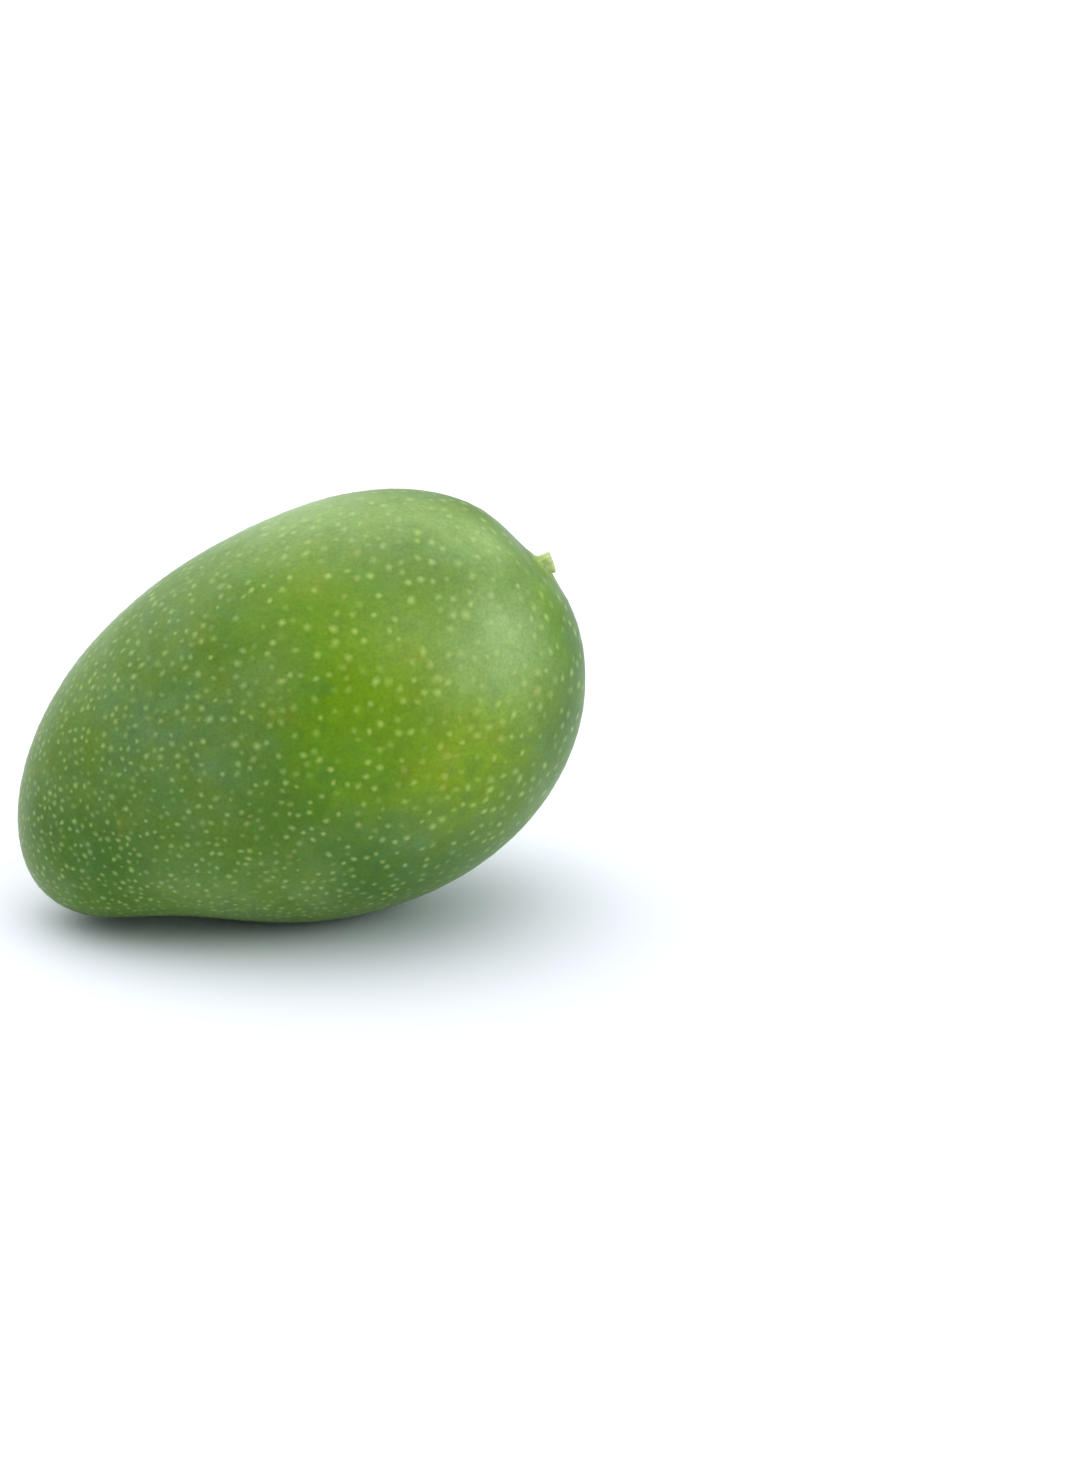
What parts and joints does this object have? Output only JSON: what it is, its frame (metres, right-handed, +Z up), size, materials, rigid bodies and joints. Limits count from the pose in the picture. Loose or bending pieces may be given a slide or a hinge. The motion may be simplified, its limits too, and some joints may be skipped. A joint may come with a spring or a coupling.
{
  "type": "mango",
  "caption": "Whole unripe green mango with a hooked beak, an oblique shoulder and a short cut stalk, resting on its belly edge.",
  "frame": {"origin": "on the surface that the fruit rests on, under the middle of its box", "axes": "+X along the fruit towards the stalk end, +Y across the two cheeks, +Z up"},
  "size_m": [0.12, 0.0738, 0.0903],
  "materials": {
    "skin": "waxy satin green skin with pale lenticels",
    "stalk_bark": "matt green bark with a paler tan cut end"
  },
  "bodies": {
    "root": {"fruit": "skin", "stalk": "stalk_bark"}
  },
  "joints": []
}
